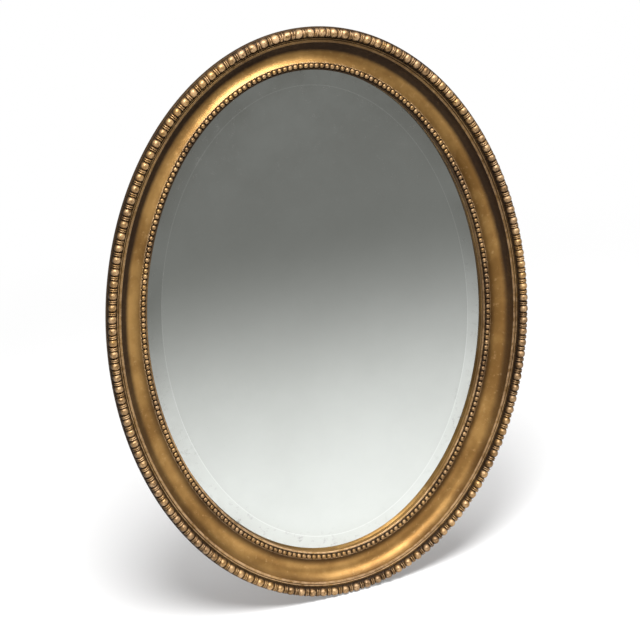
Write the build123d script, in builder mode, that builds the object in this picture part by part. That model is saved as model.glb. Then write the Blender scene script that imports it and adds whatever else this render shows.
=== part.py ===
from build123d import *
from bisect import bisect_right
from math import cos, pi, radians, sin
import os

# An oval wall mirror in a gilt frame. Sizes are in millimetres.
# X runs across, Z runs up, and the front faces -Y. Y = 0 is the rear face of the backboards.
# Heights are measured from that face towards the front, and insets from the rim's outer edge inwards.
# A turn is an angle round the oval in degrees, from the right-hand side up and over the top.

# The oval
oval_width = 624.0
oval_height = 840.0
joint_turn = 45.0  # where the rim segments meet, counted from the two sides

# The rim's section: its bands, from the outer edge inwards
shoulder_width = 14.0
groove_width = 1.4
fine_line_width = 1.0
fillet_width = 3.0
cove_width = 31.0
pearl_seat_width = 8.0
lip_width = 2.6

# The rim's section: its heights
rim_depth = 34.0  # from the rim's back to the shoulder
straight_edge = 6.0  # upright stretch under the shoulder
undercut_inset = 15.0  # how far the back edge lies inside the outer edge
back_edge = 9.0  # upright stretch above the rim's back
groove_depth = 1.2
fine_line_rise = 0.6
fillet_rise = 0.3
cove_top_drop = 1.4  # from the shoulder to the cove's outer end
cove_end_drop = 11.0  # from the shoulder to the cove's inner end
cove_sag = 9.1  # how deep the scoop hangs under the line between its ends
pearl_seat_drop = 1.4  # from the cove's inner end to the pearls' seat
lip_drop = 0.5  # from the cove's inner end to the top of the lip
lip_bevel = 0.8

# The rebate, the plate and what lies behind it
rebate_width = 5.0
rebate_depth = 15.0
plate_clearance = 1.5
plate_thickness = 5.0
plate_edge = 2.6
bevel_width = 26.0
seat_gap = 0.1
lining_thickness = 1.0
lining_inset = 2.0  # how far the paper stops inside the plate's edge
block_count = 14
block_length = 30.0
block_side = 9.0
block_gap = 0.3

# The loose tongues in the rim's joints
tongue_width = 24.0
tongue_length = 28.0
tongue_thickness = 4.0
tongue_inset = 34.0  # to the tongue's middle
tongue_height = 6.0  # from the rim's back to the tongue's middle
tongue_gap = 0.1

# The backboards and the cut brads that hold them
board_thickness = 5.0
board_lap = 16.0  # how far the boards lie over the rim's back
middle_board_width = 180.0
board_gap = 0.4
brad_count = 16
brad_length = 15.0
brad_width = 1.8
brad_tip = 0.8
brad_head_width = 3.4
brad_head_thickness = 1.0

# The outer border: a bead, then a reel, over and over
bead_count = 134
bead_runs = 8
bead_start = -84.0  # the turn where the first length begins
bead_inset = 7.0
bead_width = 13.2
bead_crest = 7.6
bead_rise = 10.6
bead_shoulder = 2.6  # how far along the bead reaches its full girth
reel_length = 6.6
reel_girth = 0.94  # as a share of the bead's
neck_girth = 0.6
run_gap = 0.16

# The inner border: a string of pearls
pearl_count = 253
pearl_runs = 6
pearl_start = 26.0
pearl_width = 7.6
pearl_rise = 5.2
pearl_neck_girth = 0.6

# The strap hangers, their screws and their rings
hanger_turn = 22.0
strap_width = 13.0
strap_length = 40.0  # from the bar's axis to the rounded end
strap_sheet = 0.9
strap_leaf = 14.0  # from the bar's axis to the end of the folded leaf
strap_fold = 5.0  # from the bar's axis to where the two leaves meet
wire = 2.4
wire_sides = 8
knuckle_gap = 0.13
ring_span = 18.6  # between the middles of the two arms
ring_reach = 22.0  # from the bar's axis to the middle of the bow
ring_arm = 9.0  # straight stretch of the arms
ring_chords = 5
screw_radius = 1.6
screw_sides = 10
screw_hole_gap = 0.2
screw_head_radius = 3.1
screw_head_height = 1.3
screw_length = 14.0
first_screw = 8.6  # from the bar's axis
second_screw = 30.0

# Places that follow from the sizes above
half_width = oval_width / 2
half_height = oval_height / 2
rim_back = board_thickness
shoulder = rim_back + rim_depth
groove_floor = shoulder - groove_depth
fine_line_start = shoulder_width + groove_width
fine_line_end = fine_line_start + fine_line_width
fillet_start = fine_line_end + groove_width
fillet_end = fillet_start + fillet_width
cove_top = shoulder - cove_top_drop
cove_end = fillet_end + cove_width
cove_end_height = shoulder - cove_end_drop
pearl_seat = cove_end_height - pearl_seat_drop
pearl_seat_end = cove_end + pearl_seat_width
lip_top = cove_end_height - lip_drop
rim_width = pearl_seat_end + lip_width
rebate_inset = rim_width - rebate_width
rebate_face = rim_back + rebate_depth
plate_inset = rebate_inset + plate_clearance
plate_lap = rim_width - plate_inset
bevel_fall = plate_thickness - plate_edge
plate_back = rebate_face - seat_gap - plate_edge - bevel_fall * plate_lap / bevel_width
lining_back = plate_back - lining_thickness
board_inset = rebate_inset - board_lap
brad_inset = board_inset + board_lap / 2
strap_inset = (undercut_inset + board_inset) / 2
knuckle_bore = wire / 2 / cos(pi / wire_sides) + knuckle_gap
bar_height = strap_sheet + knuckle_bore
to_front = Vector(0, -1, 0)
to_wall = Vector(0, 1, 0)
line_steps = 1440


def inward_at(turn):
    # The direction square to the oval's edge, towards the middle
    angle = radians(turn)
    return Vector(-half_height * cos(angle), 0, -half_width * sin(angle)).normalized()


def oval_point(turn, inset, height=0.0):
    # A point of the line that runs at a steady inset from the rim's outer edge
    angle = radians(turn)
    edge = Vector(half_width * cos(angle), -height, half_height * sin(angle))
    return edge + inward_at(turn) * inset


def section_plane(turn, inset=0.0, height=0.0):
    # Local x runs inwards, local y towards the front, and local z along the oval
    inward = inward_at(turn)
    return Plane(origin=oval_point(turn, inset, height), x_dir=inward, z_dir=inward.cross(to_front))


def measured_line(inset, start):
    # The turns of one lap and the distance walked to each of them
    turns = [start + 360.0 * step / line_steps for step in range(line_steps + 1)]
    points = [oval_point(turn, inset) for turn in turns]
    lengths = [0.0]
    for here, there in zip(points, points[1:]):
        lengths.append(lengths[-1] + (there - here).length)
    return turns, lengths


def turn_at(line, distance):
    # The turn that lies at a distance along a measured line
    turns, lengths = line
    step = min(max(bisect_right(lengths, distance) - 1, 0), line_steps - 1)
    share = (distance - lengths[step]) / (lengths[step + 1] - lengths[step])
    return turns[step] + share * (turns[step + 1] - turns[step])


def run_stations(count, runs, run, pitch, pattern):
    # Where the sections of one length stand and how stout each is, with a small gap at both ends
    first, last = round(run * count / runs), round((run + 1) * count / runs)
    stations = [(item * pitch + along, girth) for item in range(first, last) for along, girth in pattern]
    end_girth = pattern[0][1]
    stations[0] = (first * pitch + run_gap / 2, end_girth)
    return stations + [(last * pitch - run_gap / 2, end_girth)]


def draw_stouter(outline, girth):
    # An ornament's outline cut across, made stouter or slimmer about the middle of its foot
    Polygon(*[(girth * x, girth * y) for x, y in outline], align=None)


def export_piece(piece, label):
    piece.part.label = label
    export_step(piece.part, f"parts/{label}.step")


os.makedirs("parts", exist_ok=True)

# The whole moulding, drawn once: local x is the inset, local y the height
with BuildSketch() as rim_section:
    with BuildLine():
        Polyline(
            (fillet_end, cove_top),
            (fillet_end, shoulder + fillet_rise),
            (fillet_start, shoulder + fillet_rise),
            (fillet_start - groove_width / 2, groove_floor),
            (fine_line_end, shoulder + fine_line_rise),
            (fine_line_start, shoulder + fine_line_rise),
            (fine_line_start - groove_width / 2, groove_floor),
            (shoulder_width, shoulder),
            (0, shoulder),
            (0, shoulder - straight_edge),
            (undercut_inset, rim_back + back_edge),
            (undercut_inset, rim_back),
            (rebate_inset, rim_back),
            (rebate_inset, rebate_face),
            (rim_width, rebate_face),
            (rim_width, lip_top - lip_bevel),
            (rim_width - lip_bevel, lip_top),
            (pearl_seat_end, lip_top),
            (pearl_seat_end, pearl_seat),
            (cove_end, pearl_seat),
            (cove_end, cove_end_height),
        )
        SagittaArc((cove_end, cove_end_height), (fillet_end, cove_top), cove_sag)
    make_face()

# Rim segments: the section swept along a stretch of the oval, with a slot at each joint
joints = [-joint_turn, joint_turn, 180 - joint_turn, 180 + joint_turn, 360 - joint_turn]
for side, start_turn, end_turn in zip(("right", "top", "left", "bottom"), joints, joints[1:]):
    with BuildPart() as rim_segment:
        with BuildLine(Plane.XZ) as outer_edge:
            EllipticalCenterArc(
                (0, 0), half_width, half_height, start_angle=start_turn, arc_size=end_turn - start_turn
            )
        with BuildSketch(section_plane(start_turn)):
            add(rim_section.sketch)
        sweep(path=outer_edge.line)
        for turn in (start_turn, end_turn):
            with BuildSketch(section_plane(turn, tongue_inset, rim_back + tongue_height)):
                Rectangle(tongue_width + 2 * tongue_gap, tongue_thickness + 2 * tongue_gap)
            extrude(amount=tongue_length / 2 + tongue_gap, both=True, mode=Mode.SUBTRACT)
    export_piece(rim_segment, f"rim_{side}")

# Loose tongues that bridge the four joints
with BuildPart() as joint_tongues:
    for turn in joints[:4]:
        with BuildSketch(section_plane(turn, tongue_inset, rim_back + tongue_height)):
            Rectangle(tongue_width, tongue_thickness)
        extrude(amount=tongue_length / 2, both=True)
export_piece(joint_tongues, "joint_tongues")

# Outer border: each pitch holds a barrel-shaped bead and a thin sharp reel
bead_line = measured_line(bead_inset, bead_start)
bead_pitch = bead_line[1][-1] / bead_count
bead_length = bead_pitch - reel_length
bead_outline = [
    (-bead_width / 2, 0),
    (bead_width / 2, 0),
    (bead_crest / 2, bead_rise),
    (-bead_crest / 2, bead_rise),
]
bead_pattern = [
    (0, neck_girth),
    (bead_shoulder, 1),
    (bead_length - bead_shoulder, 1),
    (bead_length, neck_girth),
    (bead_length + reel_length / 2, reel_girth),
]
for run in range(bead_runs):
    with BuildPart() as bead_run:
        for distance, girth in run_stations(bead_count, bead_runs, run, bead_pitch, bead_pattern):
            with BuildSketch(section_plane(turn_at(bead_line, distance), bead_inset, shoulder)):
                draw_stouter(bead_outline, girth)
        loft(ruled=True)
    export_piece(bead_run, f"bead_run_{run + 1}")

# Inner border: a string of pearls in a shallow trench
pearl_inset = cove_end + pearl_seat_width / 2
pearl_line = measured_line(pearl_inset, pearl_start)
pearl_pitch = pearl_line[1][-1] / pearl_count
pearl_outline = [(-pearl_width / 2, 0), (pearl_width / 2, 0), (0, pearl_rise)]
pearl_pattern = [(0, pearl_neck_girth), (pearl_pitch / 2, 1)]
for run in range(pearl_runs):
    with BuildPart() as pearl_run:
        for distance, girth in run_stations(pearl_count, pearl_runs, run, pearl_pitch, pearl_pattern):
            with BuildSketch(section_plane(turn_at(pearl_line, distance), pearl_inset, pearl_seat)):
                draw_stouter(pearl_outline, girth)
        loft(ruled=True)
    export_piece(pearl_run, f"pearl_run_{run + 1}")

# The bevelled plate: an even slab whose front falls away to a thin edge all round
plate_half_width, plate_half_height = half_width - plate_inset, half_height - plate_inset
with BuildPart() as mirror_plate:
    with BuildSketch(Plane.XZ.offset(plate_back)):
        Ellipse(plate_half_width, plate_half_height)
    extrude(amount=plate_edge)
    with BuildSketch(Plane.XZ.offset(plate_back + plate_edge)):
        Ellipse(plate_half_width, plate_half_height)
    with BuildSketch(Plane.XZ.offset(plate_back + plate_thickness)):
        Ellipse(plate_half_width - bevel_width, plate_half_height - bevel_width)
    loft(ruled=True)
export_piece(mirror_plate, "mirror_plate")

# Paper lining behind the silvering
with BuildPart() as paper_lining:
    with BuildSketch(Plane.XZ.offset(lining_back)):
        Ellipse(plate_half_width - lining_inset, plate_half_height - lining_inset)
    extrude(amount=lining_thickness)
export_piece(paper_lining, "paper_lining")

# Triangular blocks glued into the rebate behind the plate
block_line = measured_line(rebate_inset, 0)
block_pitch = block_line[1][-1] / block_count
tightest_radius = half_width**2 / half_height - rebate_inset
block_bow = block_length**2 / 8 / tightest_radius  # how far the rebate wall curves in over a block
with BuildPart() as rebate_blocks:
    for block in range(block_count):
        turn = turn_at(block_line, (block + 0.5) * block_pitch)
        with BuildSketch(section_plane(turn, rebate_inset + block_bow + block_gap, lining_back)):
            Polygon((0, 0), (block_side, 0), (0, -block_side), align=None)
        extrude(amount=block_length / 2, both=True)
export_piece(rebate_blocks, "rebate_blocks")

# Three backboards cut from one oval, lapped over the rim's back
board_half_width, board_half_height = half_width - board_inset, half_height - board_inset
side_board_width = board_half_width - middle_board_width / 2 - board_gap
side_board_middle = board_half_width - side_board_width / 2
board_places = {
    "left": (-side_board_middle, side_board_width),
    "middle": (0, middle_board_width),
    "right": (side_board_middle, side_board_width),
}
for side, (middle, width) in board_places.items():
    with BuildPart() as backboard:
        with BuildSketch(Plane.XZ):
            Ellipse(board_half_width, board_half_height)
            with Locations((middle, 0)):
                Rectangle(width, 2 * board_half_height, mode=Mode.INTERSECT)
        extrude(amount=board_thickness)
    export_piece(backboard, f"backboard_{side}")

# Cut brads, square in section, driven through the boards into the rim
brad_line = measured_line(brad_inset, 0)
brad_pitch = brad_line[1][-1] / brad_count
with BuildPart() as board_brads:
    for brad in range(brad_count):
        turn = turn_at(brad_line, (brad + 0.5) * brad_pitch)
        head = Plane(origin=oval_point(turn, brad_inset), x_dir=inward_at(turn), z_dir=to_front)
        with BuildSketch(head):
            Rectangle(brad_head_width, brad_width)
        extrude(amount=brad_head_thickness)
        with BuildSketch(head.offset(brad_head_thickness)):
            Rectangle(brad_width, brad_width)
        with BuildSketch(head.offset(brad_length)):
            Rectangle(brad_tip, brad_tip)
        loft(ruled=True)
export_piece(board_brads, "board_brads")

# Strap hangers: local y runs up the strap, local z to the wall, and the bar's axis is local x
hanger_planes = {}
for side, turn in (("right", hanger_turn), ("left", 180 - hanger_turn)):
    along = inward_at(turn).cross(to_front)
    upward = along if along.Z > 0 else -along
    base = oval_point(turn, strap_inset, rim_back)
    hanger_planes[side] = Plane(origin=base, x_dir=upward.cross(to_wall), z_dir=to_wall)

# Each strap is one sheet, laid flat, folded round the bar and brought back as a short second leaf
with BuildPart() as hanger_straps:
    for flat in hanger_planes.values():
        with BuildSketch(flat):
            with Locations((0, -strap_length / 2)):
                SlotOverall(strap_length + strap_width, strap_width, rotation=90)
            with Locations((0, strap_width / 2)):
                Rectangle(strap_width, strap_width, mode=Mode.SUBTRACT)
        extrude(amount=strap_sheet)
        side_view = Plane(origin=flat.origin, x_dir=flat.y_dir, z_dir=flat.y_dir.cross(to_wall))
        with BuildSketch(side_view):
            with Locations((0, bar_height)):
                Circle(knuckle_bore + strap_sheet)
            Polygon(
                (0, strap_sheet),
                (0, bar_height + knuckle_bore + strap_sheet),
                (-strap_fold, 2 * strap_sheet),
                (-strap_leaf, 2 * strap_sheet),
                (-strap_leaf, strap_sheet),
                align=None,
            )
            with Locations((0, bar_height)):
                Circle(knuckle_bore, mode=Mode.SUBTRACT)
        extrude(amount=strap_width / 2, both=True)
        with BuildSketch(flat):
            with Locations((0, -first_screw), (0, -second_screw)):
                RegularPolygon(screw_radius + screw_hole_gap, screw_sides, major_radius=False)
        extrude(amount=2 * strap_sheet, mode=Mode.SUBTRACT)
export_piece(hanger_straps, "hanger_straps")

# Screws through the straps into the rim's back
with BuildPart() as strap_screws:
    for flat in hanger_planes.values():
        for place, seat in ((first_screw, 2 * strap_sheet), (second_screw, strap_sheet)):
            with BuildSketch(flat.offset(seat)):
                with Locations((0, -place)):
                    RegularPolygon(screw_head_radius, screw_sides)
            extrude(amount=screw_head_height)
            with BuildSketch(flat.offset(seat)):
                with Locations((0, -place)):
                    RegularPolygon(screw_radius, screw_sides)
            extrude(amount=-screw_length)
export_piece(strap_screws, "strap_screws")

# D rings of bent wire, hanging down over their straps from a straight bar in each knuckle
bow_turns = [pi * step / ring_chords for step in range(ring_chords + 1)]
bow_depth = ring_reach - ring_arm
bow = [(ring_span / 2 * cos(angle), -ring_arm - bow_depth * sin(angle)) for angle in bow_turns]
for side, flat in hanger_planes.items():
    level = flat.offset(bar_height)
    with BuildPart() as hanging_ring:
        with BuildLine(level) as ring_line:
            Polyline((0, 0), (ring_span / 2, 0), *bow, (-ring_span / 2, 0), (0, 0))
        with BuildSketch(Plane(origin=level.origin, x_dir=level.y_dir, z_dir=level.x_dir)):
            RegularPolygon(wire / 2, wire_sides, major_radius=False, rotation=180 / wire_sides)
        sweep(path=ring_line.line, transition=Transition.RIGHT)
    export_piece(hanging_ring, f"ring_{side}")
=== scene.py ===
import bpy
import math
import numpy as np
from mathutils import Matrix, Vector


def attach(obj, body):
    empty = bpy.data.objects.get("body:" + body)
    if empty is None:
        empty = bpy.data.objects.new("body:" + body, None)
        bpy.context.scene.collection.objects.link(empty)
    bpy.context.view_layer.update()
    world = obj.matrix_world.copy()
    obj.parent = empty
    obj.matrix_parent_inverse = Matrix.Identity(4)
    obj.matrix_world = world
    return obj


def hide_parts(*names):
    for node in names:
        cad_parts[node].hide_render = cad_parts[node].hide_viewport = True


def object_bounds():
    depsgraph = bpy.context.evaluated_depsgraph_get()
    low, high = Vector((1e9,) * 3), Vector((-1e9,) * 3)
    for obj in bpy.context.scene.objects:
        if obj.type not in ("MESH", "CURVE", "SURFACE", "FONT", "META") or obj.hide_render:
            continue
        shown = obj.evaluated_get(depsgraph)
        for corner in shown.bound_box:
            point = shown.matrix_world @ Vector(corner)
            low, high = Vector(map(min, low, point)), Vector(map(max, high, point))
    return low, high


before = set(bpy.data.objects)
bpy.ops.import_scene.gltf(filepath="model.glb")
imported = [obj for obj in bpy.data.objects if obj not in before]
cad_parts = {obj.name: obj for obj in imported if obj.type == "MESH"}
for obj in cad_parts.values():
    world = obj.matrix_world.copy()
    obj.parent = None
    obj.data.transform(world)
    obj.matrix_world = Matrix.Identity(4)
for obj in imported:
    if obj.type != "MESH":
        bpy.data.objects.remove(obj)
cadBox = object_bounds()
print("frame loaded:", len(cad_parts), "nodes")

mm = 0.001
rng = np.random.default_rng(7)

# the oval and the heights of the moulding, as the frame has them, in millimetres
oval = {
    "halfWidth": 312.0,
    "halfHeight": 420.0,
    "rimBack": 5.0,
    "shoulder": 39.0,
    "coveStart": 20.8,
    "coveEnd": 51.8,
    "coveEndHeight": 28.0,
    "pearlSeat": 26.6,
    "seatEnd": 59.8,
    "sightEdge": 62.4,
    "rebate": 57.4,
    "rebateFace": 20.0,
    "boards": 41.4,
    "plate": 58.9,
    "plateBack": 16.977,
    "joint": 45.0,
}


def inwardAt(turn):
    t = np.radians(turn)
    v = np.stack([-oval["halfHeight"] * np.cos(t), 0 * t, -oval["halfWidth"] * np.sin(t)], -1)
    return v / np.linalg.norm(v, axis=-1, keepdims=True)


def ovalPoint(turn, inset, height=0.0):
    # a place on the line at an inset from the outer edge, height counted from the wall to the front
    t = np.radians(np.asarray(turn, float))
    edge = np.stack([oval["halfWidth"] * np.cos(t), 0 * t - height, oval["halfHeight"] * np.sin(t)], -1)
    return edge + inwardAt(turn) * np.asarray(inset, float)[..., None]


def alongAt(turn):
    inward = inwardAt(turn)
    return np.cross(inward, np.array([0.0, -1.0, 0.0]))


def measuredLine(inset, start):
    turns = start + 360.0 * np.arange(2881) / 2880
    points = ovalPoint(turns, np.full(len(turns), float(inset)))
    return turns, np.concatenate([[0.0], np.cumsum(np.linalg.norm(np.diff(points, axis=0), axis=1))])


def turnAt(line, distance):
    return np.interp(distance, line[1], line[0])


def makeMesh(name, points, faces, marks=None, smooth=True):
    # one object from points in millimetres; marks are numbers kept on the points for the materials
    mesh = bpy.data.meshes.new(name)
    mesh.from_pydata((np.asarray(points) * mm).tolist(), [], faces)
    for mark, values in (marks or {}).items():
        layer = mesh.attributes.new(mark, "FLOAT", "POINT")
        layer.data.foreach_set("value", np.asarray(values, np.float32))
    mesh.polygons.foreach_set("use_smooth", [smooth] * len(mesh.polygons))
    mesh.update()
    piece = bpy.data.objects.new(name, mesh)
    bpy.context.scene.collection.objects.link(piece)
    return piece


def gridFaces(rows, columns, closed=False, offset=0):
    # quads between rows of points; closed joins the last column to the first
    r, c = np.meshgrid(np.arange(rows - 1), np.arange(columns if closed else columns - 1), indexing="ij")
    n = (c + 1) % columns
    quads = np.stack([r * columns + c, r * columns + n, (r + 1) * columns + n, (r + 1) * columns + c], -1)
    return (quads.reshape(-1, 4) + offset).tolist()


def rounded(corners, steps=4):
    # a closed outline with each corner cut to an arc; a corner is (inset, height, radius)
    out, count = [], len(corners)
    for i, (x, y, radius) in enumerate(corners):
        here = np.array([x, y], float)
        before = np.array(corners[i - 1][:2], float) - here
        after = np.array(corners[(i + 1) % count][:2], float) - here
        reach = min(radius, 0.45 * np.linalg.norm(before), 0.45 * np.linalg.norm(after))
        if reach < 0.02:
            out.append(here)
            continue
        start = here + before / np.linalg.norm(before) * reach
        stop = here + after / np.linalg.norm(after) * reach
        for k in range(steps + 1):
            s = k / steps
            out.append((1 - s) ** 2 * start + 2 * s * (1 - s) * here + s * s * stop)
    return np.array(out)


class Wire:
    # a socket that takes part in sums: each sum adds its own Math node
    def __init__(self, bench, socket):
        self.bench, self.socket = bench, socket

    def sum(self, operation, other, swapped=False, clamp=False):
        pair = (other, self) if swapped else (self, other)
        settings = {"operation": operation, "use_clamp": clamp}
        return self.bench.node("ShaderNodeMath", settings, dict(enumerate(pair)))

    def __add__(self, other): return self.sum("ADD", other)
    def __radd__(self, other): return self.sum("ADD", other, True)
    def __sub__(self, other): return self.sum("SUBTRACT", other)
    def __rsub__(self, other): return self.sum("SUBTRACT", other, True)
    def __mul__(self, other): return self.sum("MULTIPLY", other)
    def __rmul__(self, other): return self.sum("MULTIPLY", other, True)
    def __truediv__(self, other): return self.sum("DIVIDE", other)
    def __rtruediv__(self, other): return self.sum("DIVIDE", other, True)
    def __gt__(self, other): return self.sum("GREATER_THAN", other)
    def __lt__(self, other): return self.sum("LESS_THAN", other)
    def atLeast(self, other): return self.sum("MAXIMUM", other)
    def kept(self): return self.sum("ADD", 0.0, clamp=True)


class Bench:
    # the node tree of one finish
    def __init__(self, name, world=None):
        self.owner = world or bpy.data.materials.new(name)
        self.owner.use_nodes = True
        self.tree = self.owner.node_tree
        self.tree.nodes.clear()

    def node(self, kind, settings=None, inputs=None, output=0):
        made = self.tree.nodes.new(kind)
        for key, value in (settings or {}).items():
            setattr(made, key, value)
        for key, value in (inputs or {}).items():
            if isinstance(value, Wire):
                self.tree.links.new(value.socket, made.inputs[key])
            elif value is not None:
                made.inputs[key].default_value = value
        return Wire(self, made.outputs[output]) if len(made.outputs) else made

    def mark(self, name):
        return self.node("ShaderNodeAttribute", {"attribute_name": name}, output="Fac")

    def place(self):
        return self.node("ShaderNodeTexCoord", output="Object")

    def axis(self, number):
        return self.node("ShaderNodeSeparateXYZ", {}, {0: self.place()}, output=number)

    def ray(self, kind):
        return self.node("ShaderNodeLightPath", output=f"Is {kind} Ray")

    def noise(self, scale, detail, rough, stretch=None):
        where = self.place()
        if stretch:
            where = self.node("ShaderNodeVectorMath", {"operation": "MULTIPLY"}, {0: where, 1: stretch})
        return self.node("ShaderNodeTexNoise", {},
                         {"Vector": where, "Scale": scale, "Detail": detail, "Roughness": rough})

    def ramp(self, value, low, high):
        # 0 below low, 1 above high, eased between
        return self.node("ShaderNodeMapRange", {"interpolation_type": "SMOOTHSTEP"},
                         {"Value": value, "From Min": low, "From Max": high, "To Min": 0.0, "To Max": 1.0})

    def mix(self, share, under, over):
        return self.node("ShaderNodeMix", {"data_type": "RGBA"}, {0: share, 6: under, 7: over}, output=2)

    def finish(self, colour, roughness, metallic=0.0, bump=None, bumpDepth=0.0):
        normal = None
        if bump is not None:
            normal = self.node("ShaderNodeBump", {}, {"Height": bump, "Distance": bumpDepth, "Strength": 1.0})
        look = {"Base Color": colour, "Roughness": roughness, "Metallic": metallic, "Normal": normal}
        surface = self.node("ShaderNodeBsdfPrincipled", {}, look)
        self.node("ShaderNodeOutputMaterial", {}, {"Surface": surface})
        return self.owner


def shade(code):
    # a written colour such as "a07845" as the shader counts it
    channels = [int(code[i:i + 2], 16) / 255 for i in (0, 2, 4)]
    return tuple(c / 12.92 if c <= 0.04045 else ((c + 0.055) / 1.055) ** 2.4 for c in channels) + (1.0,)


gilding = {
    "gold": "b28a50", "bronze": "835f30", "bright": "dab47c", "shadeAndGrime": "1d0f06",
    "gesso": "c9a883", "metallic": 0.80, "roughness": 0.36,
}

composition = dict(
    gilding, gold="99743f", bronze="5c4020", bright="d0aa74", gesso="c8a67e", shadeAndGrime="180d05",
    metallic=0.78, roughness=0.31,
)

# how the leaf has aged and where shade is painted on it; shade ends are millimetres of inset, ramp ends are
# noise levels
patina = {
    "broadScale": 9.0, "fineScale": 160.0, "speckScale": 900.0,
    "goldEnds": (0.38, 0.66), "brightEnds": (0.55, 0.8), "brightMost": 0.5, "raggedBy": 2.0,
    "shoulderShade": (21.5, 29.5), "shoulderClimb": 12.0, "shoulderTilt": 9.0,
    "shoulderLeast": 0.35, "shoulderMore": 1.2,
    "pearlShade": (37.0, 51.0), "pearlClimb": 8.0, "pearlMost": 0.90, "pearlFall": 0.6,
    "outerShade": (0.8, 4.0), "outerMost": 0.95, "outerFall": 0.9,
    "shadeLeast": 0.86, "shadeByNoise": 0.3, "shadeMost": 0.94,
    "rubEnds": (0.30, 0.62), "rubMost": 0.75, "pitEnds": (0.66, 0.76), "pitMost": 0.55, "relief": 0.0004,
}


def gildedFinish(name, g):
    # bronze-gold leaf with painted shade in dark brown in the hollows, beside the pearls, along the outer
    # edge and at the foot of the ornament, pale gesso where it is rubbed, and painted light where the rub
    # mark grows towards the bottom
    b, p = Bench(name), patina
    inset = b.mark("inset")
    high = (b.axis(2) / (2 * oval["halfHeight"] * mm) + 0.5).kept()  # 0 at the bottom, 1 at the top
    across = b.axis(0)
    broad = b.noise(p["broadScale"], 5.0, 0.6)
    fine = b.noise(p["fineScale"], 5.0, 0.65)
    speck = b.noise(p["speckScale"], 3.0, 0.6)
    colour = b.mix(b.ramp(broad, *p["goldEnds"]), shade(g["bronze"]), shade(g["gold"]))
    colour = b.mix(b.ramp(fine, *p["brightEnds"]) * p["brightMost"], colour, shade(g["bright"]))
    ragged = inset + broad * p["raggedBy"] - p["raggedBy"] / 2
    # painted shade: the outer cove goes dark brown, reaching further in and darker towards the top, where the
    # cove faces down from the light
    under = 1 - b.ramp(ragged - high * p["shoulderClimb"] + across * p["shoulderTilt"], *p["shoulderShade"])
    under = under * (p["shoulderLeast"] + high * p["shoulderMore"]).kept()  # below the shoulder
    # painted shade beside the pearls, darker towards the bottom, where the cove rises and faces down
    above = b.ramp(ragged - high * p["pearlClimb"], *p["pearlShade"])  # beside the pearls
    above = above * (p["pearlMost"] - high * p["pearlFall"])
    cove = (inset > oval["coveStart"]) * (inset < oval["coveEnd"] + 0.2)
    # painted shade along the outer edge, strongest at the bottom, where the edge faces down
    outer = (1 - b.ramp(inset, *p["outerShade"])) * (p["outerMost"] - high * p["outerFall"])
    # the painted-shade marks joined into one share of dark brown; the same colour also makes the fine dark
    # pits in the leaf
    paintedShade = b.mark("shadeAndGrime").atLeast(cove * under.atLeast(above)).atLeast(outer)
    paintedShade = (paintedShade * (p["shadeLeast"] + fine * p["shadeByNoise"])).kept()
    colour = b.mix(paintedShade * p["shadeMost"], colour, shade(g["shadeAndGrime"]))
    # pale gesso where rubbed; on the rim's lip and fillets this paleness grows towards the bottom as painted
    # light
    rubbedAndLit = (b.mark("rubAndLight") * b.ramp(fine, *p["rubEnds"])).kept()
    colour = b.mix(rubbedAndLit * p["rubMost"], colour, shade(g["gesso"]))
    colour = b.mix(b.ramp(speck, *p["pitEnds"]) * p["pitMost"], colour, shade(g["shadeAndGrime"]))
    rough = (g["roughness"] + fine * 0.16 + paintedShade * 0.20 + rubbedAndLit * 0.12).kept()
    metal = (g["metallic"] - paintedShade * 0.10 - rubbedAndLit * 0.40).kept()
    return b.finish(colour, rough, metal, bump=fine * 0.6 + speck * 0.4, bumpDepth=p["relief"])


wash = {
    "grainScale": 30.0, "blotchScale": 6.0, "ochre": "9c6f38", "brown": "7a5226", "stain": "4a2f18",
    "grainEnds": (0.35, 0.7), "stainEnds": (0.5, 0.75), "stainMost": 0.6, "roughness": 0.62, "relief": 0.0005,
}


def backFinish():
    # the rim's sides and back: wood under a thin ochre wash
    b, p = Bench("ochreWash"), wash
    grain = b.noise(p["grainScale"], 6.0, 0.6)
    blotch = b.noise(p["blotchScale"], 4.0, 0.6)
    colour = b.mix(b.ramp(grain, *p["grainEnds"]), shade(p["brown"]), shade(p["ochre"]))
    colour = b.mix(b.ramp(blotch, *p["stainEnds"]) * p["stainMost"], colour, shade(p["stain"]))
    return b.finish(colour, (p["roughness"] + grain * 0.2).kept(), bump=grain, bumpDepth=p["relief"])


pine = {
    "ringScale": 16.0, "ringStretch": (5.0, 1.0, 0.20), "ringEnds": (0.40, 0.66), "ringMost": 0.7,
    "fibreScale": 120.0, "fibreStretch": (3.0, 1.0, 0.05), "fibreEnds": (0.5, 0.75), "fibreMost": 0.5,
    "patchScale": 4.0, "patchEnds": (0.52, 0.78), "patchMost": 0.45, "patch": "2e1e10", "shadow": "3a2614",
    "roughness": 0.6, "relief": 0.0006,
}


def boardFinish(name, tone, dark):
    # planed pine gone brown: long grain up the board, broad rings and a few dirty patches
    b, p = Bench(name), pine
    rings = b.noise(p["ringScale"], 4.0, 0.6, stretch=p["ringStretch"])
    fibre = b.noise(p["fibreScale"], 5.0, 0.7, stretch=p["fibreStretch"])
    patch = b.noise(p["patchScale"], 5.0, 0.6)
    colour = b.mix(b.ramp(rings, *p["ringEnds"]) * p["ringMost"], shade(tone), shade(dark))
    colour = b.mix(b.ramp(fibre, *p["fibreEnds"]) * p["fibreMost"], colour, shade(dark))
    colour = b.mix(b.ramp(patch, *p["patchEnds"]) * p["patchMost"], colour, shade(p["patch"]))
    colour = b.mix(b.mark("tone"), colour, shade(p["shadow"]))
    rough = (p["roughness"] + fibre * 0.25).kept()
    return b.finish(colour, rough, bump=fibre * 0.7 + rings * 0.3, bumpDepth=p["relief"])


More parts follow.
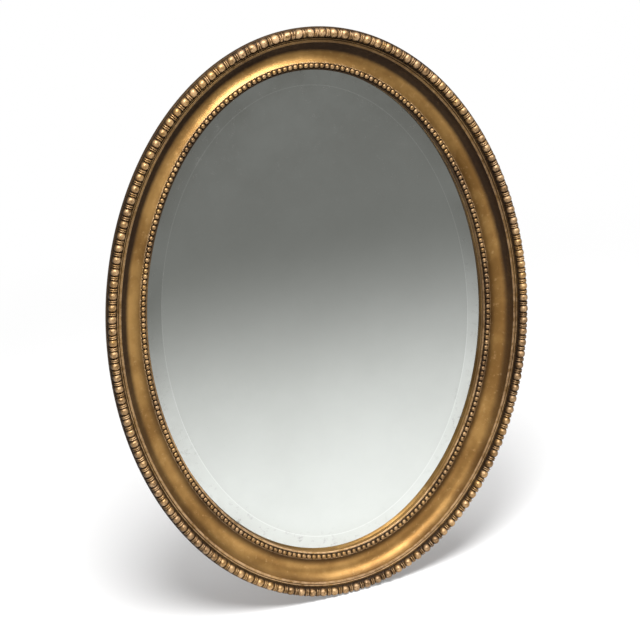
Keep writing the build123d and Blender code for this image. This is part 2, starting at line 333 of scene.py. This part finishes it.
tarnish = {
    "stainScale": 220.0, "stainEnds": (0.42, 0.7), "stainMost": 0.6,
    "patchScale": 33.0, "patchEnds": (0.4, 0.65), "patchMost": 0.5, "relief": 0.0001,
}


def metalFinish(name, clean, stained, metallic, roughness):
    b, p = Bench(name), tarnish
    stain = b.noise(p["stainScale"], 5.0, 0.65)
    patch = b.noise(p["patchScale"], 4.0, 0.6)
    share = b.ramp(stain, *p["stainEnds"]) * p["stainMost"] + b.ramp(patch, *p["patchEnds"]) * p["patchMost"]
    share = share.kept()
    colour = b.mix(share, shade(clean), shade(stained))
    return b.finish(colour, (roughness + share * 0.3).kept(), (metallic - share * 0.35).kept(),
                    bump=stain, bumpDepth=p["relief"])


def paperFinish():
    b = Bench("liningPaper")
    fibre = b.noise(300.0, 4.0, 0.6)
    return b.finish(b.mix(fibre, shade("7d6142"), shade("9a7c58")), 0.85)


silvering = {
    "clear": "c6c9c6", "dull": "adb0ac", "veil": "8f8c84", "foxing": "4a4038", "paintedGlint": "eef0ee",
    "hazeScale": 5.0, "hazeEnds": (0.3, 0.75), "hazeMost": 0.25, "rimEnds": (0.86, 1.0),
    "decayEnds": (0.34, 0.60), "atRim": 0.7, "atTop": 0.75, "veilMost": 0.35,
    "spotScale": 85.0, "spotEnds": (0.54, 0.72), "spotMost": 0.8,
    "dotScale": 420.0, "dotEnds": (0.72, 0.78), "dotLeast": 0.08, "foxingMost": 0.7,
    "polish": 0.018, "paintedGlintMost": 0.35, "roughEnds": (0.4, 0.8),
}


def silverFinish():
    # old silvering: bright, a little grey, with haze and brown spots creeping in from the edge, and a painted
    # glint where the bevel starts
    b, p = Bench("agedSilvering"), silvering
    haze = b.noise(p["hazeScale"], 6.0, 0.62)
    spots = b.noise(p["spotScale"], 5.0, 0.7)
    dots = b.noise(p["dotScale"], 2.0, 0.5)
    near = b.ramp(b.mark("edge"), *p["rimEnds"])
    decay = (near * p["atRim"] + b.mark("top") * p["atTop"]).kept() * b.ramp(haze, *p["decayEnds"])
    foxed = b.ramp(spots, *p["spotEnds"]) * decay * p["spotMost"]
    foxed = (foxed + b.ramp(dots, *p["dotEnds"]) * (p["dotLeast"] + decay)).kept()
    colour = b.mix(b.ramp(haze, *p["hazeEnds"]) * p["hazeMost"], shade(p["clear"]), shade(p["dull"]))
    colour = b.mix(decay * p["veilMost"], colour, shade(p["veil"]))
    colour = b.mix(foxed * p["foxingMost"], colour, shade(p["foxing"]))
    # painted glint: a pale line where the bevel starts
    arris = b.mark("arris")
    colour = b.mix(arris * p["paintedGlintMost"], colour, shade(p["paintedGlint"]))
    hazed = b.ramp(haze, *p["roughEnds"])
    rough = (p["polish"] + arris * 0.10 + hazed * 0.02 + decay * 0.12 + foxed * 0.16).kept()
    return b.finish(colour, rough, (1.0 - foxed * 0.2).kept())


finishes = {
    "gilt": gildedFinish("wornGilding", gilding),
    "ornament": gildedFinish("wornGildingOnComposition", composition),
    "wash": backFinish(),
    "board": boardFinish("agedPineBoard", "8a6238", "5b3c1f"),
    "block": boardFinish("sawnPine", "a47a48", "7b5630"),
    "tongue": boardFinish("beechTongue", "b08458", "8c6238"),
    "brass": metalFinish("tarnishedBrass", "b08a48", "4c3a1c", 0.95, 0.34),
    "iron": metalFinish("rustedIron", "4a3a30", "2a1a12", 0.6, 0.6),
    "paper": paperFinish(),
    "silver": silverFinish(),
}
print("finishes made:", len(finishes))


def dress(piece, finish, node, body="mirror"):
    piece.data.materials.clear()
    piece.data.materials.append(finishes[finish])
    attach(piece, body)
    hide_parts(node)


rimLook = {
    "steps": 150,  # stations along each segment
    "coveSag": 9.1,
    "coveStartHeight": 37.6,
    "coveSteps": 30,
    "quirks": (14.7, 17.1),  # insets of the two grooves
    "quirkHalf": 0.65,
    "quirkSide": 0.7,
    "fillets": (13.9, 20.9),
    "seat": (51.9, 60.1),  # the trough the pearls lie in
    "seatTop": 27.3,
    "washInset": 57.6,  # the wash covers the sides and the back up to here
    "washFall": 7.5,
}


def rimOutline():
    # the moulding cut across; the cove is a true arc, the quirks are soft
    o, s = oval, oval["shoulder"]
    start = np.array([o["coveEnd"], o["coveEndHeight"]])
    stop = np.array([o["coveStart"], rimLook["coveStartHeight"]])
    chord = np.linalg.norm(stop - start)
    sag = rimLook["coveSag"]
    radius = (chord ** 2 / 4 + sag ** 2) / (2 * sag)
    middle = (start + stop) / 2
    down = np.array([-(stop - start)[1], (stop - start)[0]]) / chord
    if down[1] > 0:
        down = -down
    centre = middle + down * (sag - radius)
    a0 = math.atan2(*(start - centre)[::-1])
    a1 = math.atan2(*(stop - centre)[::-1])
    sweep = (a1 - a0 + math.pi) % (2 * math.pi) - math.pi
    steps = rimLook["coveSteps"]
    turns = [a0 + sweep * k / steps for k in range(steps + 1)]
    cove = [centre + radius * np.array([math.cos(a), math.sin(a)]) for a in turns]
    outer, inner = rimLook["quirks"]
    side = rimLook["quirkSide"]
    corners = [
        (o["coveStart"], s + 0.3, 0.7), (inner + side, s + 0.3, 0.7), (inner, s - 1.2, 0.2),  # broad fillet
        (inner - side, s + 0.6, 0.4), (outer + side, s + 0.6, 0.4), (outer, s - 1.2, 0.2),  # fine line
        (outer - side, s, 0.3), (0.0, s, 0.8), (0.0, s - 6.0, 1.5),  # shoulder and upright edge
        (15.0, o["rimBack"] + 9.0, 2.0), (15.0, o["rimBack"], 1.0),  # undercut side
        (o["rebate"], o["rimBack"], 0.4), (o["rebate"], o["rebateFace"], 0.1),
        (o["sightEdge"], o["rebateFace"], 0.1), (o["sightEdge"], 27.0, 0.8),
        (o["sightEdge"] - 0.7, 27.5, 0.7), (o["seatEnd"], 27.5, 0.4),  # lip
        (o["seatEnd"], o["pearlSeat"], 0.1), (o["coveEnd"] + 0.6, o["pearlSeat"], 0.1),
        (o["coveEnd"] + 0.5, o["coveEndHeight"], 0.3),
    ]
    return np.vstack([rounded(corners), np.array(cove)])


def within(values, ends):
    return (values > ends[0]) * (values < ends[1])


def rimShade(outline, turn):
    # painted shade: dark in every quirk, on the fillets, in the pearl trough, on the lip and under the beads,
    # with the fillets and lip darker towards the top, where they face down
    x, y = outline[:, 0], outline[:, 1]
    s, n = oval["shoulder"], rimLook
    high = 0.5 + 0.5 * math.sin(math.radians(turn))
    paintedDark = np.zeros(len(x))
    for quirk in n["quirks"]:
        paintedDark = np.maximum(paintedDark, 0.95 * (np.abs(x - quirk) < n["quirkHalf"]) * (y < s - 0.2))
    paintedDark = np.maximum(paintedDark, (0.25 + 0.45 * high) * within(x, n["fillets"]) * (y > s - 0.2))
    paintedDark = np.maximum(paintedDark, 1.0 * within(x, n["seat"]) * (y < n["seatTop"]))
    paintedDark = np.maximum(paintedDark, np.clip(0.15 + 1.1 * high, 0, 1) * (x > oval["seatEnd"]) * (y > 26.5))  # lip
    paintedDark = np.maximum(paintedDark, 0.95 * (x < n["fillets"][0]) * (y > s - 6.5))  # under the beads
    return paintedDark


def rimRubAndLight(outline, turn):
    # the rub mark: real rubbing on the edge of the cove and a little on the fillets, and on the fillets and
    # lip a paleness growing towards the bottom, painted light where these faces turn up to the lamp
    x, y = outline[:, 0], outline[:, 1]
    s = oval["shoulder"]
    low = 0.5 - 0.5 * math.sin(math.radians(turn))
    rubAndLight = np.zeros(len(x))
    rubAndLight = np.maximum(rubAndLight, (0.1 + 0.6 * low) * (y > s + 0.15) * (x > 14))  # fillets
    rubAndLight = np.maximum(rubAndLight, 0.95 * low ** 2 * (x > oval["seatEnd"]) * (y > 26.9))  # lip
    rubAndLight = np.maximum(rubAndLight, 0.6 * (np.abs(x - 52.0) < 0.7) * (y > 27.7))  # edge of the cove
    return rubAndLight


def sweepRim(side, first, last):
    outline = rimOutline()
    steps = rimLook["steps"]
    turns = np.linspace(first, last, steps + 1)
    count = len(outline)
    rows = [ovalPoint(np.full(count, turn), outline[:, 0], outline[:, 1]) for turn in turns]
    points = np.vstack(rows)
    faces = gridFaces(steps + 1, count, closed=True)
    total = len(points)
    points = np.vstack([points, rows[0], rows[-1]])  # the ends have points of their own, so they stay crisp
    faces += [[total + k for k in range(count)][::-1], [total + count + k for k in range(count)]]
    every = np.concatenate([turns, [turns[0], turns[-1]]])
    marks = {"inset": np.tile(outline[:, 0], steps + 3),
             "shadeAndGrime": np.concatenate([rimShade(outline, turn) for turn in every]),
             "rubAndLight": np.concatenate([rimRubAndLight(outline, turn) for turn in every])}
    piece = makeMesh(f"giltRim_{side}", points, faces, marks)
    dress(piece, "gilt", f"rim_{side}")
    piece.data.materials.append(finishes["wash"])
    insetOf, riseOf = marks["inset"], np.tile(outline[:, 1], steps + 3)
    for face in piece.data.polygons:
        v = list(face.vertices)
        inset, rise = insetOf[v].mean(), riseOf[v].mean()
        front = inset > 18 and riseOf[v].min() > 20  # the moulding itself
        if len(v) > 4:
            face.material_index, face.use_smooth = 1, False
        elif rise < oval["shoulder"] - rimLook["washFall"] and inset < rimLook["washInset"] and not front:
            face.material_index = 1


joints = [oval["joint"] + 90.0 * k for k in range(-1, 4)]
for side, first, last in zip(("right", "top", "left", "bottom"), joints, joints[1:]):
    sweepRim(side, first, last)
print("rim swept: 4 segments")


def domeGrid(stations, around, width, rise, lean=0.0, soft=0.85):
    # a solid of half-round sections; a station is (along, girth)
    v = np.linspace(0, math.pi, around)
    c, s = np.cos(v), np.sin(v)
    rows = []
    for along, girth in stations:
        across = width / 2 * girth * np.sign(c) * np.abs(c) ** soft + lean * s * girth
        up = rise * girth * s ** soft
        rows.append(np.stack([np.full(around, along), across, up], -1))
    return np.array(rows)


def barrelStations(length, rows, power):
    lat = np.linspace(-math.pi / 2, math.pi / 2, rows)
    return [(length / 2 * math.sin(a), max(math.cos(a), 0.0) ** power) for a in lat]


handwork = {
    "wornSpread": 24.0,  # degrees to each side of the top
    "lowered": 0.08, "loweredMore": 0.14, "widened": 0.10, "skew": 0.10, "wornSkew": 0.35,
    "shadeVariesPerCopy": 0.18, "wornLighter": 0.5, "wornPale": 0.45, "rubVaries": 0.35,
    "shadeTop": 0.92, "rubFrom": 0.45, "rubOver": 0.4,  # as shares of the ornament's height
}


def strung(template, places, inset, height, marks, jitter, wear=0.0):
    # copies of a small grid along the oval; local x along, y inwards, z to the front
    h, toFront = handwork, np.array([0.0, -1.0, 0.0])
    rows, around = template.shape[:2]
    flat = template.reshape(-1, 3)
    points, faces, kept = [], [], {key: [] for key in marks}
    for k, turn in enumerate(places):
        along, inward = alongAt(np.array(turn)), inwardAt(np.array(turn))
        size = 1 - jitter * rng.random(3)
        fromTop = (turn - 90 + 180) % 360 - 180
        worn = wear * math.exp(-(fromTop / h["wornSpread"]) ** 2)  # most along the top
        skew = (rng.random() - 0.5) * (h["skew"] + h["wornSkew"] * worn)
        size[2] *= 1 - worn * (h["lowered"] + h["loweredMore"] * rng.random())
        size[0] *= 1 + worn * h["widened"] * rng.random()
        x, y, z = flat[:, 0] * size[0], flat[:, 1] * size[1], flat[:, 2] * size[2]
        x = x + y * skew
        base = ovalPoint(np.array(turn), np.array(inset), height)
        points.append(base + x[:, None] * along + y[:, None] * inward + z[:, None] * toFront)
        faces += gridFaces(rows, around, offset=k * rows * around)
        change = {"shadeAndGrime": h["shadeVariesPerCopy"] * rng.random() - h["wornLighter"] * worn * rng.random(),
                  "rubAndLight": h["wornPale"] * worn - h["rubVaries"] * rng.random()}
        for key, values in marks.items():
            kept[key].append(values + change.get(key, 0.0))
    return np.vstack(points), faces, {key: np.concatenate(v) for key, v in kept.items()}


def joinParts(name, parts):
    # several (points, faces, marks) as one object
    points, faces, offset = [], [], 0
    keys = parts[0][2].keys()
    marks = {key: [] for key in keys}
    for p, f, m in parts:
        points.append(p)
        faces += [[i + offset for i in face] for face in f]
        offset += len(p)
        for key in keys:
            marks[key].append(m[key])
    return makeMesh(name, np.vstack(points), faces, {key: np.concatenate(v) for key, v in marks.items()})


def domeMarks(template, inset, rise, shadeAtFoot, rubHigh):
    h, flat = handwork, template.reshape(-1, 3)
    share = np.clip(flat[:, 2] / rise, 0, 1)
    return {"inset": inset + flat[:, 1],
            # painted shade at the foot of each bead, reel and pearl, fading out towards its top, varied a
            # little per copy; the crest is rubbed pale
            "shadeAndGrime": np.clip(shadeAtFoot * (1 - share / h["shadeTop"]), 0, 1),
            "rubAndLight": np.clip((share - h["rubFrom"]) / h["rubOver"], 0, 1) * rubHigh}


def baseStrip(inset, height, first, last, half, rise, steps):
    # the low ridge that ties a string of ornament together
    columns = 9
    v = np.linspace(0, math.pi, columns)
    section = np.stack([half * np.cos(v), rise * np.sin(v)], -1)
    rows = [ovalPoint(np.full(columns, turn), inset + section[:, 0], height + section[:, 1])
            for turn in np.linspace(first, last, steps)]
    # the strip is painted dark all over: painted shade in the crevices between the ornaments
    shadeAndGrime = np.full(columns * steps, 0.95)
    marks = {"inset": np.tile(inset + section[:, 0], steps), "shadeAndGrime": shadeAndGrime, "rubAndLight": shadeAndGrime * 0}
    return np.vstack(rows), gridFaces(steps, columns), marks


def membersOf(run, count, runs):
    return np.arange(round(run * count / runs), round((run + 1) * count / runs))


def runEnds(line, members, pitch):
    gap = 0.2  # between one length and the next, on each side
    return turnAt(line, np.array([members[0] * pitch + gap, (members[-1] + 1) * pitch - gap]))


beadBorder = {
    "count": 134, "runs": 8, "start": -84.0, "inset": 7.2, "reel": 5.7,
    "width": 13.2, "rise": 9.8, "lean": -0.8, "lap": 0.5,
    "reelWidth": 12.8, "reelRise": 9.2, "reelThick": 1.9, "reelApart": 2.5, "reelLean": -0.6,
    "stripHalf": 5.8, "stripRise": 4.8,
    "beadGrid": (13, 17), "beadPower": 0.55, "beadJitter": 0.04,
    "reelGrid": (7, 15), "reelPower": 0.16, "reelJitter": 0.05,
    "shadeAndGrime": 1.3, "beadRub": 0.75, "reelRub": 0.7,
}


def beadRuns():
    n, height = beadBorder, oval["shoulder"]
    line = measuredLine(n["inset"], n["start"])
    pitch = line[1][-1] / n["count"]
    length = pitch - n["reel"]
    barrel = barrelStations(length + n["lap"], n["beadGrid"][0], n["beadPower"])
    bead = domeGrid(barrel, n["beadGrid"][1], n["width"], n["rise"], n["lean"])
    barrel = barrelStations(n["reelThick"], n["reelGrid"][0], n["reelPower"])
    disc = domeGrid(barrel, n["reelGrid"][1], n["reelWidth"], n["reelRise"], n["reelLean"])
    beadMarks = domeMarks(bead, n["inset"], n["rise"], n["shadeAndGrime"], n["beadRub"])
    discMarks = domeMarks(disc, n["inset"], n["reelRise"], n["shadeAndGrime"], n["reelRub"])
    for run in range(n["runs"]):
        members = membersOf(run, n["count"], n["runs"])
        beadTurns = turnAt(line, (members * pitch) + length / 2)
        middle = members * pitch + length + n["reel"] / 2
        apart = n["reelApart"] / 2
        discTurns = turnAt(line, np.sort(np.concatenate([middle - apart, middle + apart])))
        first, last = runEnds(line, members, pitch)
        parts = [strung(bead, beadTurns, n["inset"], height, beadMarks, n["beadJitter"], wear=1.0),
                 strung(disc, discTurns, n["inset"], height, discMarks, n["reelJitter"], wear=1.0),
                 baseStrip(n["inset"], height, first, last, n["stripHalf"], n["stripRise"], len(members) * 4)]
        border = joinParts(f"beadAndReel_{run + 1}", parts)
        dress(border, "ornament", f"bead_run_{run + 1}")


beadRuns()
print("bead and reel border laid: 8 lengths")

pearlString = {
    "count": 253, "runs": 6, "start": 26.0, "width": 7.6, "rise": 5.1, "length": 6.9,
    "dash": 3.3, "dashWidth": 1.5, "dashInset": 0.55, "dashLift": 1.0, "stripHalf": 3.2, "stripRise": 2.0,
    "pearlGrid": (11, 13), "dashGrid": (5, 7), "power": 0.5, "soft": 0.9,
    "pearlJitter": 0.06, "dashJitter": 0.1, "shadeAndGrime": 1.5, "pearlRub": 0.6, "dashPaintedLight": 1.0,
}


def pearlRuns():
    n, height = pearlString, oval["pearlSeat"]
    inset = (oval["coveEnd"] + oval["seatEnd"]) / 2
    dashInset = oval["coveEnd"] + n["dashInset"]
    line = measuredLine(inset, n["start"])
    pitch = line[1][-1] / n["count"]
    barrel = barrelStations(n["length"], n["pearlGrid"][0], n["power"])
    pearl = domeGrid(barrel, n["pearlGrid"][1], n["width"], n["rise"], soft=n["soft"])
    barrel = barrelStations(n["dash"], n["dashGrid"][0], n["power"])
    dash = domeGrid(barrel, n["dashGrid"][1], n["dashWidth"], n["dashWidth"])
    pearlMarks = domeMarks(pearl, inset, n["rise"], n["shadeAndGrime"], n["pearlRub"])
    # the dashes between the pearls get the pale gesso colour: painted light where the wall between the pearls
    # catches the lamp
    dashMarks = domeMarks(dash, dashInset, n["dashWidth"], 0.0, n["dashPaintedLight"])
    for run in range(n["runs"]):
        members = membersOf(run, n["count"], n["runs"])
        turns = turnAt(line, (members + 0.5) * pitch)
        gaps = turnAt(line, members[1:] * pitch)
        first, last = runEnds(line, members, pitch)
        parts = [strung(pearl, turns, inset, height, pearlMarks, n["pearlJitter"]),
                 strung(dash, gaps, dashInset, height + n["dashLift"], dashMarks, n["dashJitter"]),
                 baseStrip(inset, height, first, last, n["stripHalf"], n["stripRise"], len(members) * 3)]
        pearls = joinParts(f"pearlString_{run + 1}", parts)
        dress(pearls, "ornament", f"pearl_run_{run + 1}")


pearlRuns()
print("pearls laid: 6 lengths")


plateLook = {
    "bevel": 26.0, "edge": 2.6, "thickness": 5.0, "arris": 0.8, "around": 720,
    "hazeFrom": 0.35, "hazeOver": 0.6,  # up the plate, 1 at its top
}


def bevelledPlate():
    n, around = plateLook, plateLook["around"]
    t = np.radians(np.linspace(0, 360, around, endpoint=False))
    back, front = oval["plateBack"], oval["plateBack"] + n["thickness"]
    w, h = oval["halfWidth"] - oval["plate"], oval["halfHeight"] - oval["plate"]

    def ring(extra, height):
        return np.stack([(w - extra) * np.cos(t), 0 * t - height, (h - extra) * np.sin(t)], -1)

    slope = (n["thickness"] - n["edge"]) / n["bevel"]
    before, arris, after = n["bevel"] - n["arris"], ring(n["bevel"], front), n["bevel"] + n["arris"]
    rows = [ring(0, back), ring(0, back + n["edge"]),
            ring(0, back + n["edge"]), ring(before, front - n["arris"] * slope), arris,
            arris, ring(after, front), arris * np.array([0.5, 1, 0.5])]
    last = (len(rows) - 1) * around
    points = np.vstack(rows + [np.array([[0, -front, 0], [0, -back, 0]])])
    faces = gridFaces(2, around, closed=True) + gridFaces(3, around, closed=True, offset=2 * around)
    faces += gridFaces(3, around, closed=True, offset=5 * around)
    middle, rear = last + around, last + around + 1
    for k in range(around):
        m = (k + 1) % around
        faces.append([last + k, last + m, middle])
        faces.append([m, k, rear])
    radius = np.hypot(points[:, 0] / w, points[:, 2] / h)
    ground = np.zeros(len(points))
    # this line where the bevel starts gets a painted glint in the silvering
    ground[4 * around:6 * around] = 1.0  # the line where the bevel starts
    top = np.clip((points[:, 2] / h - n["hazeFrom"]) / n["hazeOver"], 0, 1)
    marks = {"edge": radius, "top": top, "arris": ground}
    piece = makeMesh("bevelledPlate", points, faces, marks)
    for face in piece.data.polygons:
        if abs(face.normal[1]) > 0.999:
            face.use_smooth = False  # the flat of the glass
    dress(piece, "silver", "mirror_plate")


bevelledPlate()
print("plate ground and silvered")


def dressNode(node, finish):
    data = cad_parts[node].data
    data.materials.clear()
    data.materials.append(finishes[finish])


boardLook = {
    "thick": 5.0, "middle": 180.0, "gap": 0.4, "arris": 0.5, "steps": 160,
    "tones": {"left": 0.12, "middle": 0.0, "right": 0.26}, "seamDirt": 0.35, "seamReach": 1.2,
}


def backBoards():
    w, h = oval["halfWidth"] - oval["boards"], oval["halfHeight"] - oval["boards"]
    half = boardLook["middle"] / 2
    seam = half + boardLook["gap"]
    ease = (1 - np.cos(np.linspace(0, math.pi, boardLook["steps"]))) / 2  # closer steps towards both sides
    for side, low, high in (("left", -w, -seam), ("middle", -half, half), ("right", seam, w)):
        xs = low + (high - low) * ease
        z = h * np.sqrt(np.clip(1 - (xs / w) ** 2, 0, 1))
        outline = list(zip(xs, z)) + list(zip(xs[::-1], -z[::-1]))
        clean = [outline[0]]
        for p in outline[1:]:
            if math.dist(p, clean[-1]) > 0.01:
                clean.append(p)
        if math.dist(clean[0], clean[-1]) < 0.01:
            clean.pop()
        ring = np.array(clean)
        count = len(ring)
        inward = ring.mean(0) - ring
        arris = boardLook["arris"]
        inner = ring + inward / np.linalg.norm(inward, axis=1, keepdims=True) * arris
        levels = [(ring, boardLook["thick"]), (ring, arris), (inner, 0.0)]
        points = np.vstack([np.stack([r[:, 0], np.full(count, -y), r[:, 1]], -1) for r, y in levels])
        faces = gridFaces(3, count, closed=True)
        faces += [list(range(count))[::-1], [2 * count + k for k in range(count)]]
        tone = np.full(len(points), boardLook["tones"][side])
        fromSeam = np.abs(np.abs(points[count:, 0]) - half)
        tone[count:] += boardLook["seamDirt"] * (fromSeam < boardLook["seamReach"])
        piece = makeMesh(f"pineBoard_{side}", points, faces, {"tone": tone}, smooth=False)
        dress(piece, "board", f"backboard_{side}")


backBoards()
for node, finish in (("joint_tongues", "tongue"), ("paper_lining", "paper"), ("rebate_blocks", "block"),
                     ("board_brads", "iron"), ("hanger_straps", "brass")):
    dressNode(node, finish)

hangers = {
    "turn": 22.0, "inset": 28.2, "bar": 2.329, "wire": 2.36,
    "span": 18.6, "reach": 22.0, "arm": 9.0, "corner": 1.6,
    "shank": 1.6, "length": 14.0, "headRadius": 3.05, "slotHalf": 0.42, "slotFloor": 0.45,
    "first": 8.6, "second": 30.0, "sheet": 0.9,
    "headSides": 40, "head": ((2.7, 0.85), (1.9, 1.15), (1.0, 1.27)),  # radius and height over the seat
}


def hangerFrame(side):
    turn = hangers["turn"] if side == "right" else 180 - hangers["turn"]
    base = ovalPoint(np.array(turn), np.array(hangers["inset"]), oval["rimBack"])
    up = alongAt(np.array(turn))
    up = up if up[2] > 0 else -up
    wall = np.array([0.0, 1.0, 0.0])
    return base, np.cross(up, wall), up, wall


def bentRing(side):
    # round wire bent to a D, its bar lying in the knuckle
    base, across, up, wall = hangerFrame(side)
    n, sides, cornerSteps, bowSteps = hangers, 16, 6, 40
    half, corner = n["span"] / 2, n["corner"]
    path = []
    for k in range(cornerSteps + 1):
        a = math.pi / 2 * k / cornerSteps
        path.append((half - corner + corner * math.sin(a), -corner + corner * math.cos(a)))
    for k in range(1, bowSteps):
        a = math.pi * k / bowSteps
        path.append((half * math.cos(a), -n["arm"] - (n["reach"] - n["arm"]) * math.sin(a)))
    path += [(-x, y) for x, y in path[cornerSteps::-1]]
    path = np.array(path)
    after, before = np.roll(path, -1, 0), np.roll(path, 1, 0)
    tangent = (after - before) / np.linalg.norm(after - before, axis=1, keepdims=True)
    normal = np.stack([-tangent[:, 1], tangent[:, 0]], -1)
    angle = np.linspace(0, 2 * math.pi, sides, endpoint=False)
    radius = n["wire"] / 2
    rows = []
    for p, q in zip(path, normal):
        flat = p[None, :] + radius * np.cos(angle)[:, None] * q[None, :]
        lift = n["bar"] + radius * np.sin(angle)
        rows.append(base + flat[:, :1] * across + flat[:, 1:] * up + lift[:, None] * wall)
    count = len(path)
    faces, last = gridFaces(count, sides, closed=True), (count - 1) * sides
    faces += [[last + k, last + (k + 1) % sides, (k + 1) % sides, k] for k in range(sides)]
    piece = makeMesh(f"hangingRing_{side}", np.vstack(rows), faces)
    dress(piece, "brass", f"ring_{side}", body=f"ring_{side}")


def screwHeads():
    # round heads with a cut slot, and their shanks in the wood
    parts, n, sides = [], hangers, hangers["headSides"]
    levels = [(n["shank"], -n["length"]), (n["shank"], 0.0), (n["headRadius"], 0.0), (n["headRadius"], 0.35)]
    levels += n["head"]
    for side in ("left", "right"):
        base, across, up, wall = hangerFrame(side)
        for place, seat in ((n["first"], 2 * n["sheet"]), (n["second"], n["sheet"])):
            spin = rng.random() * math.pi
            angle = np.linspace(0, 2 * math.pi, sides, endpoint=False)
            rows = []
            for radius, lift in levels:
                x, y = radius * np.cos(angle), radius * np.sin(angle)
                groove = np.abs(x * math.sin(spin) - y * math.cos(spin)) < n["slotHalf"]
                rise = np.where(groove & (lift > 0.5), n["slotFloor"], lift) + seat
                rows.append(base + x[:, None] * across + (y - place)[:, None] * up + rise[:, None] * wall)
            rows.append((base - place * up + (n["slotFloor"] + seat) * wall)[None, :])
            faces = gridFaces(len(levels), sides, closed=True)
            last = (len(levels) - 1) * sides
            faces += [[last + k, last + (k + 1) % sides, last + sides] for k in range(sides)]
            faces.append(list(range(sides))[::-1])
            parts.append((np.vstack(rows), faces, {}))
    dress(joinParts("slottedScrews", parts), "brass", "strap_screws")


for side in ("left", "right"):
    bentRing(side)
screwHeads()
print("back fitted: boards, brads, straps, rings")

studio = {
    "floorSize": 60.0, "floorGlow": 0.26, "glowStart": 0.75, "glowEnd": 1.7,
    "frontShade": 0.30, "shadeStart": 0.0, "shadeEnd": 1.5, "matt": 0.14,
    "world": 0.20, "lowSky": 0.12, "skyStart": 0.05, "skyEnd": 0.8,
    "keyPower": 120.0, "keySize": 1.3, "keyFrom": (-0.45, -1.5, 2.15),
    "topPower": 70.0, "topSize": 1.8, "topFrom": (0.5, -0.8, 2.7),
}
white, black = (1, 1, 1, 1), (0, 0, 0, 1)


def layFloor():
    n, half, low = studio, studio["floorSize"] / 2, cadBox[0][2]
    corners = [(-half, -half, low), (half, -half, low), (half, half, low), (-half, half, low)]
    floor = makeMesh("studioFloor", np.array(corners) / mm, [[0, 1, 2, 3]], smooth=False)
    b = Bench("paleFloor")
    camera = b.ray("Camera")
    seen = camera.atLeast(b.ray("Glossy")).atLeast(b.ray("Transmission"))
    gray = (n["frontShade"], n["frontShade"], n["frontShade"] * 0.96, 1)
    nearer = b.ramp(0 - b.axis(1), n["shadeStart"], n["shadeEnd"])
    tone = b.mix(nearer, white, gray)  # darker towards the front
    tone = b.mix(camera, tone, white)
    reach = b.node("ShaderNodeVectorMath", {"operation": "LENGTH"}, {0: b.place()}, output=1)
    glowing = n["floorGlow"] + b.ramp(reach, n["glowStart"], n["glowEnd"]) * (1 - n["floorGlow"])
    matt = b.node("ShaderNodeBsdfDiffuse", {}, {"Color": b.mix(n["matt"], tone, black)})
    glow = b.node("ShaderNodeEmission", {}, {"Color": tone, "Strength": 1.0})
    share = seen * glowing  # low near the frame, so its shadow stays
    surface = b.node("ShaderNodeMixShader", {}, {0: share, 1: matt, 2: glow})
    b.node("ShaderNodeOutputMaterial", {}, {"Surface": surface})
    floor.data.materials.append(b.owner)


def lightWorld():
    n, world = studio, bpy.data.worlds.new("paleStudio")
    bpy.context.scene.world = world
    b = Bench("paleStudio", world)
    direction = b.node("ShaderNodeTexCoord", output="Generated")
    height = b.node("ShaderNodeSeparateXYZ", {}, {0: direction}, output=2)
    sky = n["lowSky"] + b.ramp(height, n["skyStart"], n["skyEnd"]) * (1 - n["lowSky"])  # brightest overhead
    seen = b.ray("Glossy").atLeast(b.ray("Transmission")) * sky
    strength = b.ray("Camera").atLeast(seen).atLeast(n["world"])
    light = b.node("ShaderNodeBackground", {}, {"Color": white, "Strength": strength})
    b.node("ShaderNodeOutputWorld", {}, {"Surface": light})


def hangLamp(name):
    n = studio
    lamp = bpy.data.lights.new(f"{name}Lamp", "AREA")
    lamp.energy, lamp.size, lamp.shape = n[f"{name}Power"], n[f"{name}Size"], "DISK"
    holder = bpy.data.objects.new(f"{name}Lamp", lamp)
    bpy.context.scene.collection.objects.link(holder)
    holder.location = n[f"{name}From"]
    aim = -Vector(n[f"{name}From"])  # at the middle of the mirror
    holder.rotation_euler = aim.to_track_quat("-Z", "Y").to_euler()


layFloor()
lightWorld()
hangLamp("key")
hangLamp("top")

view = {
    "azimuth": -18.8, "elevation": 20.8, "roll": -6.7, "distance": 5.0, "lens": 201.8, "sensor": 36.0,
    "aim": (-0.0025, -0.039, -0.001),
}


def setCamera():
    az, el, roll = (math.radians(view[k]) for k in ("azimuth", "elevation", "roll"))
    toward = Vector((math.sin(az) * math.cos(el), -math.cos(az) * math.cos(el), math.sin(el)))
    right = (-toward).cross(Vector((0, 0, 1))).normalized()
    up = right.cross(-toward)
    c, s = math.cos(roll), math.sin(roll)
    rightRolled, upRolled = right * c + up * s, up * c - right * s
    data = bpy.data.cameras.new("photoCamera")
    data.lens, data.sensor_width = view["lens"], view["sensor"]
    camera = bpy.data.objects.new("photoCamera", data)
    turned = Matrix((rightRolled, upRolled, toward)).transposed().to_4x4()
    turned.translation = Vector(view["aim"]) + toward * view["distance"]
    camera.matrix_world = turned
    bpy.context.scene.collection.objects.link(camera)
    bpy.context.scene.camera = camera


setCamera()
bpy.context.scene.view_settings.view_transform = "Standard"
print("studio lit, camera set")
